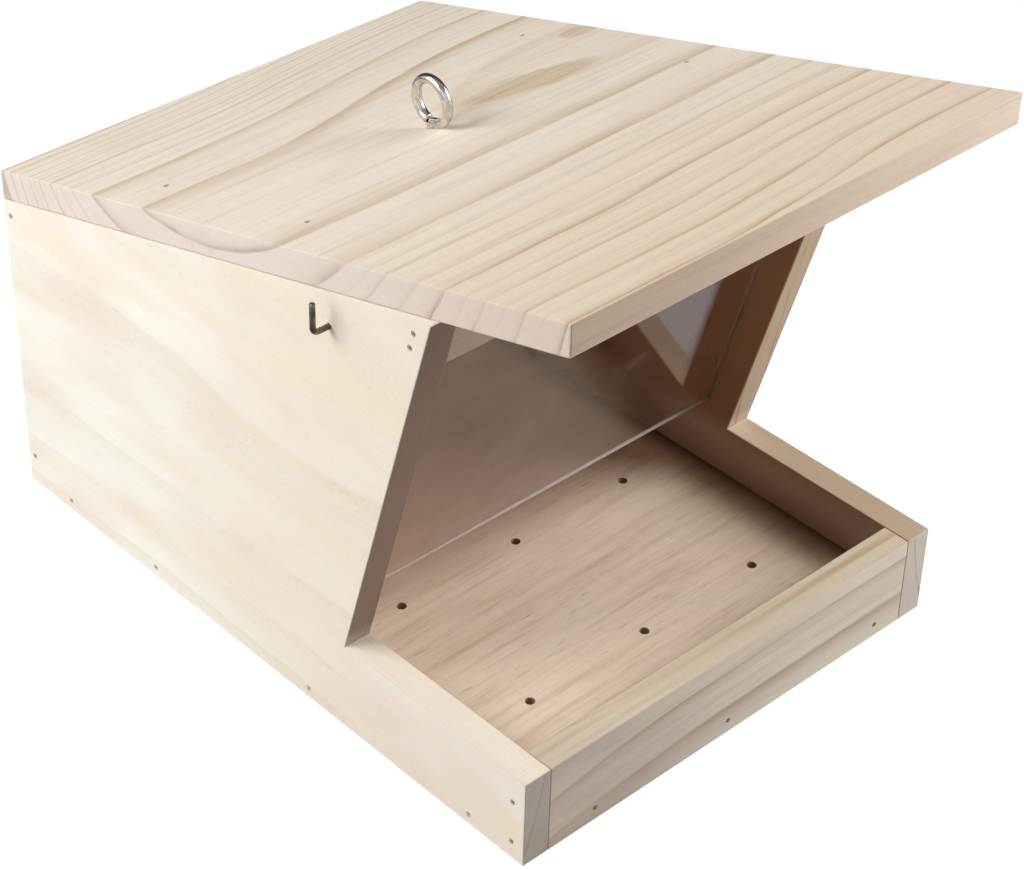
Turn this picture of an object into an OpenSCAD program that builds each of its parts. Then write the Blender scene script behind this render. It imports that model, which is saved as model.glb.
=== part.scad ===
// Silo bird feeder: a pine box with a slanted acrylic window, an open feeding tray in front,
// and a lift-off roof held by two square-bend screw hooks. A screw eye in the roof hangs it up.
// +Z is up, the tray faces -Y, and the origin is under the middle of the whole outline.

/* [Body] */
// Width over the two side boards
body_w = 158; // [130:1:240]
// Depth of the side boards, from the tray's front to the back
body_d = 220; // [190:1:280]
// Height of the side boards at the back
back_h = 100; // [75:1:150]
// Height of the tray rim
tray_h = 29; // [25:0.5:40]
// Distance from the tray's front to the foot of the slanted edge
tray_d = 71; // [60:1:85]
// Forward lean of the slanted edge, in degrees from upright
side_slant = 15.5; // [8:0.5:20]
// Length of the small uncut nib where the slanted edge meets the roof
tip_nib = 2.3; // [1:0.1:4]

/* [Boards] */
// Thickness of the side boards
side_t = 9; // [7:0.5:14]
// Thickness of the front board
front_t = 9; // [7:0.5:14]
// Thickness of the back board
back_t = 9; // [7:0.5:14]
// Thickness of the floor board
floor_t = 13; // [9:0.5:16]
// Thickness of the rail across the top of the window
rail_t = 9; // [7:0.5:12]
// Height of the rail's front face, measured down the slanted edge
rail_h = 20; // [16:0.5:26]

/* [Roof] */
// Pitch of the roof, rising to the front, in degrees
roof_pitch = 16; // [8:0.5:22]
// Thickness of the roof board
roof_t = 9; // [8:0.5:14]
// How far the roof reaches past the tray's front
roof_overhang = 9; // [0:0.5:30]
// Clearance under the roof board where it sits on the box
roof_seat_gap = 0.2; // [0.1:0.05:0.5]

/* [Roof cleats] */
// Thickness of the two cleats under the roof
cleat_t = 9; // [7:0.5:12]
// Height of the cleats, square to the roof
cleat_h = 20; // [16:0.5:24]
// How far the cleats reach in front of the screw hooks
cleat_nose = 10; // [6:0.5:12]
// Distance between the cleats' back ends and the back board
cleat_back_gap = 20; // [8:0.5:40]
// Clearance between each cleat and the side board
cleat_side_gap = 0.5; // [0.3:0.05:1]

/* [Window] */
// Thickness of the acrylic pane
pane_t = 2; // [1.5:0.1:3]
// Distance between the rail and the pane
pane_rail_gap = 1; // [0.5:0.1:2]
// Clear height under the pane, above the floor
feed_gap = 22; // [18:0.5:32]
// Depth of the pane's grooves in the side boards
groove_depth = 3; // [2:0.25:4.5]
// Clearance round the pane in its grooves
groove_play = 0.25; // [0.15:0.05:0.4]
// Room above the pane, so that it can be eased up under the closed roof
pane_headroom = 2.4; // [1.5:0.1:4]

/* [Screw hooks] */
// Distance of the hooks behind the slanted edge
hook_in = 32.3; // [26:0.1:40]
// Wire diameter of the hooks
hook_wire = 1.6; // [1.2:0.1:2.4]
// Distance from the side board to the middle of the upright arm
hook_standoff = 5.2; // [5:0.1:8]
// Height of the upright arm above the middle of the shank
hook_arm = 9; // [6:0.5:14]
// Radius of the bend, at the middle of the wire
hook_bend = 1.8; // [1.4:0.1:2.1]
// Distance from the hook's point to the cleat while the hook is backed out
hook_point_gap = 0.5; // [0.3:0.1:1]
// How far the hook screws in to lock the roof, which leaves its bend outside the side board
hook_travel = 3; // [2:0.1:3.3]
// Clearance round the hook's thread in its holes
hook_play = 0.06; // [0.03:0.01:0.1]
// Pitch of the hook's thread
hook_pitch = 1; // [0.7:0.05:1.2]
// Depth of the hook's hole in the cleat past the point of a locked hook
hook_hole_spare = 1.5; // [1:0.5:3]

/* [Screw eye] */
// Ring diameter of the eye, at the middle of the wire
eye_ring_d = 12.7; // [10:0.1:22]
// Wire diameter of the eye
eye_wire = 2.9; // [1.6:0.1:3.4]
// Offset of the eye from the centre line
eye_x = -2.5; // [-10:0.5:10]
// Distance of the eye behind the middle of the roof
eye_back = 17.5; // [0:0.5:30]
// Clearance between the ring's lowest point and the roof
eye_lift = 0.5; // [0.4:0.1:2]
// Angle of the opening between the ring's end and the shank
eye_opening = 16; // [15:1:40]
// Length of the threaded shank in the roof
eye_shank = 8; // [5:0.5:8]
// Pitch of the eye's thread
eye_pitch = 1.2; // [0.9:0.05:1.6]

/* [Drain holes] */
// Diameter of the drain holes
drain_d = 3; // [2:0.5:5]
// Distance between the drain holes of a row
drain_pitch_x = 44; // [25:0.5:50]
// Distance between the two rows
drain_pitch_y = 53; // [20:0.5:60]
// Distance from the tray's front to the first row
drain_first = 35; // [20:0.5:50]

/* [Brads] */
// Diameter of a brad's shank
brad_d = 1.1; // [0.8:0.1:1.4]
// Length of a brad from the wood's surface to its point
brad_len = 18; // [16:0.5:20]
// Diameter of a brad's head
brad_head_d = 1.8; // [1.5:0.1:2.2]
// Thickness of a brad's head
brad_head_h = 0.7; // [0.5:0.1:1]
// Depth of a brad's head below the surface
brad_sink = 0.5; // [0.2:0.1:0.8]
// Length of a brad's point
brad_point = 1.6; // [1:0.1:2.5]
// Height of the brads through the sides into the floor
floor_brad_z = 3.5; // [2.5:0.1:5]
// Distance of the first of those brads from the front, and of the last from the back
floor_brad_end = 21; // [15:0.5:30]
// Distance of the second one from the front
floor_brad_second = 87; // [60:0.5:105]
// Distance of the third one from the back
floor_brad_third = 63; // [45:0.5:80]
// Height of the brads through the front board into the floor
front_brad_z = 4.4; // [3:0.1:5]
// Distance of the left one of those brads from the left side board
front_brad_left = 17; // [8:0.5:25]
// Offset of the middle one from the centre line
front_brad_mid = -2; // [-10:0.5:10]
// Distance of the right one from the right side board
front_brad_right = 11; // [8:0.5:25]
// Height of the lower brad through each side into the front board
corner_brad_low = 6; // [6:0.1:9]
// Distance of the upper one below the tray rim
corner_brad_top = 9; // [5:0.5:12]
// Distance of the back brads from the side boards' back edge
back_brad_in = 3; // [2:0.1:4]
// Height of the lower back brad
back_brad_low = 10; // [6:0.5:20]
// Distance of the upper back brad below the side boards' back corner
back_brad_top = 4.3; // [3:0.1:8]
// Height of the lower rail brad above the rail's lower edge
rail_brad_low = 6.5; // [4:0.1:7]
// Distance between the two rail brads
rail_brad_pitch = 4.9; // [3:0.1:6]
// Place of the left cleat's brads, from the middle of the cleat towards the back
cleat_brads_left = [-28, 32]; // [-45:0.5:45]
// Place of the right cleat's brads, from the middle of the cleat towards the back
cleat_brads_right = [-35, 31]; // [-45:0.5:45]

/* [Hidden] */
$fn = 48;

// Woods in light and in shade, and the bright parts
pine_side = [0.94, 0.90, 0.81];
pine_roof = [0.89, 0.81, 0.71];
pine_front = [0.80, 0.73, 0.64];
pine_floor = [0.74, 0.62, 0.49];
nickel = [0.80, 0.80, 0.79];
zinc = [0.62, 0.60, 0.55];
clear_acrylic = [0.80, 0.88, 0.90, 0.35];

// Cuts start this far outside the wood
cut = 1;
inner_w = body_w - 2 * side_t;
roof_run = body_d + roof_overhang;
// The tray's front face and the box's back face
front_y = -roof_run / 2 + roof_overhang;
back_y = front_y + body_d;
pitch_tan = tan(roof_pitch);
slant_tan = tan(side_slant);
// Height of a plane roof line above a point, with the line's height at the back face
function roof_line(y) = back_h + (back_y - y) * pitch_tan;
function roof_under(y) = roof_line(y) + roof_seat_gap;
roof_rise = roof_t / cos(roof_pitch);
function roof_top(y) = roof_under(y) + roof_rise;
// The slanted edge starts at the notch and would meet the roof line at the tip
notch_y = front_y + tray_d;
edge_len = (roof_line(notch_y) - tray_h) / (cos(side_slant) - sin(side_slant) * pitch_tan);
function edge_point(up) = [notch_y - up * sin(side_slant), tray_h + up * cos(side_slant)];
// The nib leaves the slanted edge at 45 degrees and ends on the roof line
nib_foot = edge_point(edge_len - tip_nib);
nib_run = (roof_line(nib_foot[0]) - nib_foot[1]) / (1 - pitch_tan);
nib_top = [nib_foot[0] - nib_run, nib_foot[1] + nib_run];

// In the window's own frame, y is the distance behind the slanted edge and z runs up it
pane_in = rail_t + pane_rail_gap;
under_roof_tan = tan(side_slant + roof_pitch);
function edge_roof(in) = edge_len - in * under_roof_tan;
pane_foot = (floor_t + feed_gap - tray_h - pane_in * sin(side_slant)) / cos(side_slant);
pane_top = edge_roof(pane_in + pane_t) - pane_headroom;
pane_w = inner_w + 2 * (groove_depth - groove_play);

// The hooks meet the cleats at half their height
hook_drop = (cleat_h / 2) / cos(roof_pitch) - roof_seat_gap;
hook_y = (notch_y + hook_in - (roof_line(0) - hook_drop - tray_h) * slant_tan)
    / (1 - pitch_tan * slant_tan);
hook_z = roof_line(hook_y) - hook_drop;
hook_r = hook_wire / 2;
hook_bore_r = hook_r + hook_play;
hook_shank = hook_standoff + side_t + cleat_side_gap - hook_point_gap;
hook_thread = side_t + cleat_side_gap - hook_point_gap;
hook_hole_depth = hook_travel - hook_point_gap + hook_hole_spare;
thread_depth = 0.18;

// The cleats lie along the roof, between the hooks and the back board
cleat_front_y = hook_y - cleat_nose;
cleat_back_y = back_y - back_t - cleat_back_gap;
cleat_mid_y = (cleat_front_y + cleat_back_y) / 2;
cleat_len = (cleat_back_y - cleat_front_y) / cos(roof_pitch);
cleat_out = inner_w / 2 - cleat_side_gap;
cleat_mid_x = cleat_out - cleat_t / 2;

eye_y = eye_back;
eye_r = eye_wire / 2;
eye_ring_z = roof_top(eye_y) + eye_lift + eye_r + eye_ring_d / 2;

// Draws a profile of y and z over a width, centred on x = 0
module across(width) {
    rotate([90, 0, 90])
        linear_extrude(height = width, center = true)
            children();
}

// Moves into the window's own frame
module on_slant() {
    translate([0, notch_y, tray_h])
        rotate([side_slant, 0, 0])
            children();
}

// Draws on the left side, or mirrored on the right
module on_side(s) {
    mirror([s > 0 ? 1 : 0, 0, 0])
        children();
}

// A thread of plain ridges below z = 0, ending in a point
module thread(r, len, pitch, depth) {
    ridges = floor((len - 2 * r) / pitch);
    rotate_extrude()
        polygon(concat(
            [[0, 0], [r, 0]],
            [for (i = [0 : ridges - 1], k = [0, 1])
                [k == 0 ? r - depth : r, -(i + (k + 1) / 2) * pitch]],
            [[0, -len]]));
}

// A brad, driven from z = 0 downwards
module brad() {
    translate([0, 0, -brad_sink - brad_head_h])
        cylinder(d = brad_head_d, h = brad_head_h);
    translate([0, 0, -brad_len + brad_point])
        cylinder(d = brad_d, h = brad_len - brad_point - brad_sink - brad_head_h / 2);
    translate([0, 0, -brad_len])
        cylinder(d1 = 0, d2 = brad_d, h = brad_point);
}

// The hole that a brad leaves, open at the surface
module brad_hole() {
    brad();
    translate([0, 0, -brad_sink - brad_head_h])
        cylinder(d = brad_head_d, h = brad_sink + brad_head_h + cut);
}

// Places of the brads. Each takes a brad or its hole as its child.
module at_left_face(y, z) {
    translate([-body_w / 2, y, z])
        rotate([0, -90, 0])
            children();
}

module at_corner_brads() {
    for (z = [corner_brad_low, tray_h - corner_brad_top])
        at_left_face(front_y + front_t / 2, z)
            children();
}

module at_floor_side_brads() {
    from_front = [floor_brad_end, floor_brad_second];
    from_back = [floor_brad_third, floor_brad_end];
    for (y = concat([for (d = from_front) front_y + d], [for (d = from_back) back_y - d]))
        at_left_face(y, floor_brad_z)
            children();
}

module at_back_brads() {
    for (z = [back_brad_low, back_h - back_brad_top])
        at_left_face(back_y - back_brad_in, z)
            children();
}

module at_rail_brads() {
    for (i = [0, 1])
        on_slant()
            translate([-body_w / 2, rail_t / 2, edge_len - rail_h + rail_brad_low + i * rail_brad_pitch])
                rotate([0, -90, 0])
                    children();
}

module at_floor_front_brads() {
    for (x = [-inner_w / 2 + front_brad_left, front_brad_mid, inner_w / 2 - front_brad_right])
        translate([x, front_y, front_brad_z])
            rotate([90, 0, 0])
                children();
}

module at_roof_brads(s) {
    for (dy = s < 0 ? cleat_brads_left : cleat_brads_right)
        translate([s * cleat_mid_x, cleat_mid_y + dy, roof_top(cleat_mid_y + dy)])
            rotate([-roof_pitch, 0, 0])
                children();
}

// The brads on both sides of the box
module both_sides() {
    for (s = [-1, 1])
        on_side(s)
            children();
}

// A side board, drawn on the left
module side_board() {
    difference() {
        translate([-(body_w - side_t) / 2, 0, 0])
            across(side_t)
                polygon([
                    [front_y, 0], [back_y, 0], [back_y, back_h],
                    nib_top, nib_foot, [notch_y, tray_h], [front_y, tray_h]
                ]);
        on_slant()
            translate([-inner_w / 2 - groove_depth, pane_in - groove_play, pane_foot - groove_play])
                cube([groove_depth + cut, pane_t + 2 * groove_play, edge_len]);
        translate([-body_w / 2 - cut, hook_y, hook_z])
            rotate([0, 90, 0])
                cylinder(r = hook_bore_r, h = side_t + 2 * cut);
        at_corner_brads() brad_hole();
        at_floor_side_brads() brad_hole();
        at_back_brads() brad_hole();
        at_rail_brads() brad_hole();
    }
}

module side_left() {
    color(pine_side) side_board();
}

module side_right() {
    color(pine_side) on_side(1) side_board();
}

// The board across the tray's front
module front_board() {
    color(pine_front)
        difference() {
            translate([-inner_w / 2, front_y, 0])
                cube([inner_w, front_t, tray_h]);
            both_sides() at_corner_brads() brad_hole();
            at_floor_front_brads() brad_hole();
        }
}

// The floor of the tray and the silo, with its drain holes
module floor_board() {
    color(pine_floor)
        difference() {
            translate([-inner_w / 2, front_y + front_t, 0])
                cube([inner_w, body_d - front_t - back_t, floor_t]);
            for (i = [-1 : 1], j = [0, 1])
                translate([i * drain_pitch_x, front_y + drain_first + j * drain_pitch_y, -cut])
                    cylinder(d = drain_d, h = floor_t + 2 * cut);
            both_sides() at_floor_side_brads() brad_hole();
            at_floor_front_brads() brad_hole();
        }
}

// The back of the silo, with its top edge cut to the roof's pitch
module back_board() {
    back_inner_y = back_y - back_t;
    color(pine_side)
        difference() {
            across(inner_w)
                polygon([
                    [back_inner_y, 0], [back_y, 0],
                    [back_y, back_h], [back_inner_y, roof_line(back_inner_y)]
                ]);
            both_sides() at_back_brads() brad_hole();
        }
}

// The rail across the top of the window, flush with the slanted edges
module top_rail() {
    color(pine_front)
        difference() {
            on_slant()
                across(inner_w)
                    polygon([
                        [0, edge_len - rail_h], [rail_t, edge_len - rail_h],
                        [rail_t, edge_roof(rail_t)], [0, edge_len]
                    ]);
            both_sides() at_rail_brads() brad_hole();
        }
}

// The acrylic pane, which stands in its grooves
module window_pane() {
    color(clear_acrylic)
        on_slant()
            translate([-pane_w / 2, pane_in, pane_foot])
                cube([pane_w, pane_t, pane_top - pane_foot]);
}

// The roof board, with plumb-cut ends and flush with the side boards
module roof_board() {
    roof_front_y = front_y - roof_overhang;
    color(pine_roof)
        difference() {
            across(body_w)
                polygon([
                    [roof_front_y, roof_under(roof_front_y)], [back_y, roof_under(back_y)],
                    [back_y, roof_top(back_y)], [roof_front_y, roof_top(roof_front_y)]
                ]);
            translate([eye_x, eye_y, roof_top(eye_y) - eye_shank])
                cylinder(r = eye_r, h = eye_shank + eye_ring_d);
            for (s = [-1, 1])
                at_roof_brads(s) brad_hole();
        }
}

// A cleat under the roof, with the hole that its hook screws into
module cleat(s) {
    color(pine_front)
        difference() {
            translate([s * cleat_mid_x, cleat_mid_y, roof_under(cleat_mid_y)])
                rotate([-roof_pitch, 0, 0])
                    translate([-cleat_t / 2, -cleat_len / 2, -cleat_h])
                        cube([cleat_t, cleat_len, cleat_h]);
            translate([s * (cleat_out + cut), hook_y, hook_z])
                rotate([0, -90 * s, 0])
                    cylinder(r = hook_bore_r, h = hook_hole_depth + cut);
            at_roof_brads(s) brad_hole();
        }
}

module cleat_left() {
    cleat(-1);
}

module cleat_right() {
    cleat(1);
}

// The screw eye: a ring nearly closed on its shank, rounded where it leaves it, with its thread in
// the roof
module screw_eye() {
    ring_r = eye_ring_d / 2;
    stem = eye_ring_z - ring_r - roof_top(eye_y);
    color(nickel) {
        translate([eye_x, eye_y, eye_ring_z])
            rotate([0, 90, 0])
                rotate([0, 0, eye_opening])
                    rotate_extrude(angle = 360 - eye_opening)
                        translate([ring_r, 0])
                            circle(r = eye_r);
        translate([eye_x, eye_y, roof_top(eye_y)])
            cylinder(r = eye_r, h = stem);
        translate([eye_x, eye_y, roof_top(eye_y) + stem])
            sphere(r = eye_r);
        translate([eye_x, eye_y, roof_top(eye_y)])
            thread(eye_r, eye_shank, eye_pitch, thread_depth);
    }
}

// A square-bend screw hook in the left side board, backed out as in use when the roof comes off
module hook() {
    color(zinc)
        translate([-body_w / 2 - hook_standoff, hook_y, hook_z]) {
            translate([0, 0, hook_bend])
                cylinder(r = hook_r, h = hook_arm - hook_bend);
            translate([hook_bend, 0, hook_bend])
                rotate([90, 0, 0])
                    rotate([0, 0, 180])
                        rotate_extrude(angle = 90)
                            translate([hook_bend, 0])
                                circle(r = hook_r);
            translate([hook_bend, 0, 0])
                rotate([0, 90, 0])
                    cylinder(r = hook_r, h = hook_shank - hook_thread - hook_bend);
            translate([hook_shank - hook_thread, 0, 0])
                rotate([0, -90, 0])
                    thread(hook_r, hook_thread, hook_pitch, thread_depth);
        }
}

module hook_left() {
    hook();
}

module hook_right() {
    on_side(1) hook();
}

// Brads through the sides into the ends of the front board
module corner_brads() {
    color(zinc) both_sides() at_corner_brads() brad();
}

// Brads through the sides into the floor
module floor_side_brads() {
    color(zinc) both_sides() at_floor_side_brads() brad();
}

// Brads through the front board into the floor
module floor_front_brads() {
    color(zinc) at_floor_front_brads() brad();
}

// Brads through the sides into the back board
module back_brads() {
    color(zinc) both_sides() at_back_brads() brad();
}

// Brads through the sides into the ends of the top rail
module rail_brads() {
    color(zinc) both_sides() at_rail_brads() brad();
}

// Brads through the roof into the cleats
module roof_brads() {
    color(zinc)
        for (s = [-1, 1])
            at_roof_brads(s) brad();
}

side_left();
side_right();
front_board();
floor_board();
back_board();
top_rail();
window_pane();
roof_board();
cleat_left();
cleat_right();
screw_eye();
hook_left();
hook_right();
corner_brads();
floor_side_brads();
floor_front_brads();
back_brads();
rail_brads();
roof_brads();
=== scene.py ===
# %% [markdown]
# # A silo bird feeder, board by board
# The real object is a small pine box for bird seed. Its roof lifts off, a slanted acrylic pane holds the
# seed back, and the birds eat from an open tray in front. Every board was cut and bored in the CAD model.
# Here the boards get eased edges and a grain of their own, and the metal parts are made again with their
# bends and threads. The built model comes in first, as a frame that nothing here moves.

# %% Load the built feeder
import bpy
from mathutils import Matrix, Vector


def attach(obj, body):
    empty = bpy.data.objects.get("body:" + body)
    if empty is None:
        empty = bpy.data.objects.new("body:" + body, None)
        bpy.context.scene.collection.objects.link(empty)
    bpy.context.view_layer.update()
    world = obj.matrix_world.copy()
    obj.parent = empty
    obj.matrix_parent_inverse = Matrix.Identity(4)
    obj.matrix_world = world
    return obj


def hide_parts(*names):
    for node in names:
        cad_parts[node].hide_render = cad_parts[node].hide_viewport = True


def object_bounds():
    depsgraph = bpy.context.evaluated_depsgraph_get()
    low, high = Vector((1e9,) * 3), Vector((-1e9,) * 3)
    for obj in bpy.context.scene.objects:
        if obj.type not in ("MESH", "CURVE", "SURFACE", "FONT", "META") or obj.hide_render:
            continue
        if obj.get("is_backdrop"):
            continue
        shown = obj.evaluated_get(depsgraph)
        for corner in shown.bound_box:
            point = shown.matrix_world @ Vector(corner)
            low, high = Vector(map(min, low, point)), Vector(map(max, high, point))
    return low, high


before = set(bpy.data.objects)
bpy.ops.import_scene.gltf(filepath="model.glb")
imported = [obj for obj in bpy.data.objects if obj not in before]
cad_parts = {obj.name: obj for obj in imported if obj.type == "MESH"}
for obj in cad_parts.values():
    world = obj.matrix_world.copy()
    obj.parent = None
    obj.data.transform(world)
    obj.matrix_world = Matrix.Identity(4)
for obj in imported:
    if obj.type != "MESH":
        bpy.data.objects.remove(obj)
cad_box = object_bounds()

# %% Tools and units
import math

import bmesh
import bpy
from mathutils import Matrix, Vector

MM = 0.001
scene = bpy.context.scene

# %% [markdown]
# ## The sizes that the joinery follows
# A joiner writes the cutting list first. These are the same lengths that the boards were cut to, in
# millimetres, so that brads, hooks and grain fall where the boards are.

# %% Cutting list
body_w = 158.0
side_t = 9.0
back_t = 9.0
floor_t = 13.0
front_y = -105.5
back_y = 114.5
tray_h = 29.0
back_h = 100.0
notch_y = -34.5
side_slant = math.radians(15.5)
roof_pitch = math.radians(16.0)
edge_len = 128.213
nib_len = 20.0
roof_top_at_back = 109.563
roof_front_y = front_y - 9.0


def roof_top(y):
    return roof_top_at_back + (back_y - y) * math.tan(roof_pitch)


print("The roof's top runs from z", round(roof_top(back_y), 1), "to", round(roof_top(roof_front_y), 1))

# %% [markdown]
# ## The camera
# The photograph looks down on the feeder from its tray side and its left. The camera stands where the
# corners of the boards fall on the corners in the photograph. Its three axes are worked out from a
# compass angle, a height angle and a slight roll, which reads better than a matrix of numbers.

# %% Place the camera
camera_turn = math.radians(-43.909)
camera_tilt = math.radians(36.69)
camera_roll = math.radians(1.667)
camera_place = (-0.4299, -0.4613, 0.5122)
film_width = 36
lens_length = 95.67

camera_data = bpy.data.cameras.new("Camera")
camera_data.sensor_width = film_width
camera_data.lens = lens_length
camera_data.clip_start = 0.01
camera = bpy.data.objects.new("Camera", camera_data)
scene.collection.objects.link(camera)
scene.camera = camera

away = Vector((
    math.sin(camera_turn) * math.cos(camera_tilt),
    -math.cos(camera_turn) * math.cos(camera_tilt),
    math.sin(camera_tilt),
))
level = Vector((0, 0, 1)).cross(away).normalized()
upright = away.cross(level)
right = level * math.cos(camera_roll) + upright * math.sin(camera_roll)
top = upright * math.cos(camera_roll) - level * math.sin(camera_roll)
camera.matrix_world = Matrix((right, top, away)).transposed().to_4x4()
camera.location = camera_place
print("Camera at", camera_place, "with a lens of", lens_length, "mm")

# %% [markdown]
# ## A bench for node trees
# Wood needs many small nodes. A helper that adds one node, sets it and wires it keeps each finish
# readable as a list of steps. The same helper serves the shader trees and the geometry trees.

# %% The node bench


class Bench:
    """A node tree on the bench: each call adds one node and wires it."""

    def __init__(self, tree):
        self.tree = tree

    def feed(self, socket, value):
        if isinstance(value, bpy.types.NodeSocket):
            self.tree.links.new(value, socket)
        elif value is not None:
            socket.default_value = value

    def node(self, kind, *values, out=0, **settings):
        made = self.tree.nodes.new(kind)
        for name, value in settings.items():
            setattr(made, name, value)
        for place, value in enumerate(values):
            self.feed(made.inputs[place], value)
        return made.outputs[out]

    def sum(self, a, b):
        return self.node("ShaderNodeMath", a, b, operation="ADD")

    def less(self, a, b):
        return self.node("ShaderNodeMath", a, b, operation="SUBTRACT")

    def times(self, a, b):
        return self.node("ShaderNodeMath", a, b, operation="MULTIPLY")

    def power(self, a, b):
        return self.node("ShaderNodeMath", a, b, operation="POWER")

    def larger(self, a, b):
        return self.node("ShaderNodeMath", a, b, operation="MAXIMUM")

    def size_of(self, value):
        """The value without its sign."""
        return self.node("ShaderNodeMath", value, operation="ABSOLUTE")

    def span(self, a, b):
        """The longest side of a right-angled triangle whose other sides are a and b."""
        squares = self.sum(self.times(a, a), self.times(b, b))
        return self.node("ShaderNodeMath", squares, operation="SQRT")

    def measure(self, place, direction):
        """How far a place lies in a direction."""
        return self.node("ShaderNodeVectorMath", place, direction, operation="DOT_PRODUCT", out=1)

    def faces(self, direction):
        """How squarely the surface faces a direction: 1 towards it, -1 away from it."""
        return self.measure(self.node("ShaderNodeTexCoord", out=1), direction)

    def place_in_mm(self):
        """The place on the piece, in millimetres."""
        where = self.node("ShaderNodeTexCoord", out=3)
        return self.node("ShaderNodeVectorMath", where, (1 / MM,) * 3, operation="MULTIPLY")

    def stretch(self, place, sizes):
        """The place counted in steps of the given sizes, so that a pattern is as long as them."""
        steps = tuple(1 / size for size in sizes)
        return self.node("ShaderNodeVectorMath", place, steps, operation="MULTIPLY")

    def ease(self, value, start, end, low=0.0, high=1.0):
        """From low to high as the value goes from start to end, softly at both ends."""
        return self.node(
            "ShaderNodeMapRange", value, start, end, low, high, interpolation_type="SMOOTHSTEP")

    def noise(self, place, sizes, detail=2.0, rough=0.5):
        return self.node("ShaderNodeTexNoise", self.stretch(place, sizes), None, 1.0, detail, rough)

    def waver(self, place, sizes, reach, detail=1.0):
        """A slow drift of about the given reach to either side."""
        return self.times(self.less(self.noise(place, sizes, detail), 0.5), 2.0 * reach)

    def blend(self, share, first, second, how="MIX"):
        """The share says how much of the second colour shows over the first."""
        made = self.tree.nodes.new("ShaderNodeMix")
        made.data_type = "RGBA"
        made.blend_type = how
        self.feed(made.inputs[0], share)
        self.feed(made.inputs[6], first)
        self.feed(made.inputs[7], second)
        return made.outputs[2]

    def ramp(self, value, stops):
        """The height at a value, along straight lines from stop to stop."""
        made = self.tree.nodes.new("ShaderNodeValToRGB")
        self.feed(made.inputs[0], value)
        points = made.color_ramp.elements
        while len(points) < len(stops):
            points.new(1.0)
        for point, (position, height) in zip(points, stops):
            point.position = position
            point.color = (height, height, height, 1.0)
        return made.outputs[0]


def colour(red, green, blue):
    """A colour as it is read off a screen, turned into light."""
    def light(part):
        part = part / 255
        return part / 12.92 if part <= 0.04045 else ((part + 0.055) / 1.055) ** 2.4
    return (light(red), light(green), light(blue), 1.0)


def new_finish(name):
    """A new material, with a bench for its nodes and its main shader."""
    finish = bpy.data.materials.new(name)
    finish.use_nodes = True
    return finish, Bench(finish.node_tree), finish.node_tree.nodes["Principled BSDF"]


print("Bench methods:", [name for name in vars(Bench) if not name.startswith("_")])

# %% [markdown]
# ## Pine, cut from a log
# A board's figure is a slice through the log's growth rings. So the finish is worked out in the log: the
# distance of each point of the board from the pith gives its ring, and late wood darkens each ring
# towards a sharp outer edge. The same sum then gives long lines on a face and arcs on the end grain, and
# they meet at the edges, as they do in real wood. Fibres, resin ducts and a slow change of tint lie on
# top, all of them drawn out along the grain.

# %% Where a board lies in its log


def lay_of(along, across, out, start=(0, 0, 0)):
    """A board's own directions: along the grain, across it, and out of its good face."""
    return {
        "along": Vector(along).normalized(), "across": Vector(across).normalized(),
        "out": Vector(out).normalized(), "start": Vector(start),
    }


def board_place(bench, lay):
    """The place on the board in millimetres: along the grain, across it, and out of its face."""
    where = bench.place_in_mm()
    where = bench.node("ShaderNodeVectorMath", where, lay["start"], operation="SUBTRACT")
    parts = [bench.measure(where, lay[way]) for way in ("along", "across", "out")]
    return bench.node("ShaderNodeCombineXYZ", *parts), parts


# %% Rings of late wood


def set_rings(bench, radius, rings, sharp, fall=0.05):
    """How much late wood a radius has, where each ring has its own radius and its own depth."""
    past_the_last = 2.0
    first = rings[0][0] - (rings[1][0] - rings[0][0])
    reach = rings[-1][0] + past_the_last - first
    stops = [(0.0, 0.0)]
    inner = first
    for ring, depth in rings:
        stops.append(((inner - first) / reach, 0.0))
        stops.append(((ring - first) / reach, depth ** (1 / sharp)))
        inner = ring + fall * (ring - inner)
    share = bench.times(bench.less(radius, first), 1 / reach)
    return bench.power(bench.ramp(share, stops), sharp)


def side_rings(bench, place, parts, log):
    """The rings of a side board, which lean at the board's foot and then run along its faces."""
    _, across, out = parts
    lean_height, lean_depth = 60, 20.4
    fall = bench.node("ShaderNodeMath", bench.times(across, -1 / lean_height), operation="EXPONENT")
    lean = bench.times(bench.less(1.0, fall), lean_depth)
    depth = bench.sum(bench.sum(out, lean), bench.waver(place, (110, 45, 20), log["waver"]))
    return set_rings(bench, bench.sum(depth, bench.waver(place, (22, 9, 4), 0.2)), log["rings"], 3.2)


def even_rings(bench, place, parts, log):
    """How much late wood a point has, for rings of about one width."""
    along, across, out = parts
    drift = bench.waver(place, (150, 60, 60), log["waver"])
    lean = bench.times(along, log["lean"])
    side = bench.sum(bench.less(across, log["pith"][0]), bench.sum(drift, lean))
    deep = bench.less(out, log["pith"][1])
    ripple = bench.waver(place, (22, 7, 7), log["ripple"])
    radius = bench.sum(bench.span(side, deep), ripple)
    count = bench.node("ShaderNodeMath", radius, log["ring"], operation="DIVIDE")
    beat, unevenness = 2.6, 0.16
    uneven = bench.node("ShaderNodeMath", bench.times(count, beat), operation="SINE")
    count = bench.sum(count, bench.times(uneven, unevenness))
    share = bench.node("ShaderNodeMath", count, operation="FRACT")
    number = bench.node("ShaderNodeMath", count, operation="FLOOR")
    line = bench.ramp(
        share, [(0.0, 0.0), (0.45, 0.03), (0.75, 0.22), (0.91, 0.85), (0.965, 1.0), (1.0, 0.0)])
    chance = bench.node("ShaderNodeTexWhiteNoise", None, number, noise_dimensions="1D")
    return bench.times(line, bench.ease(chance, 0.0, 1.0, 0.45, 1.0))


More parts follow.
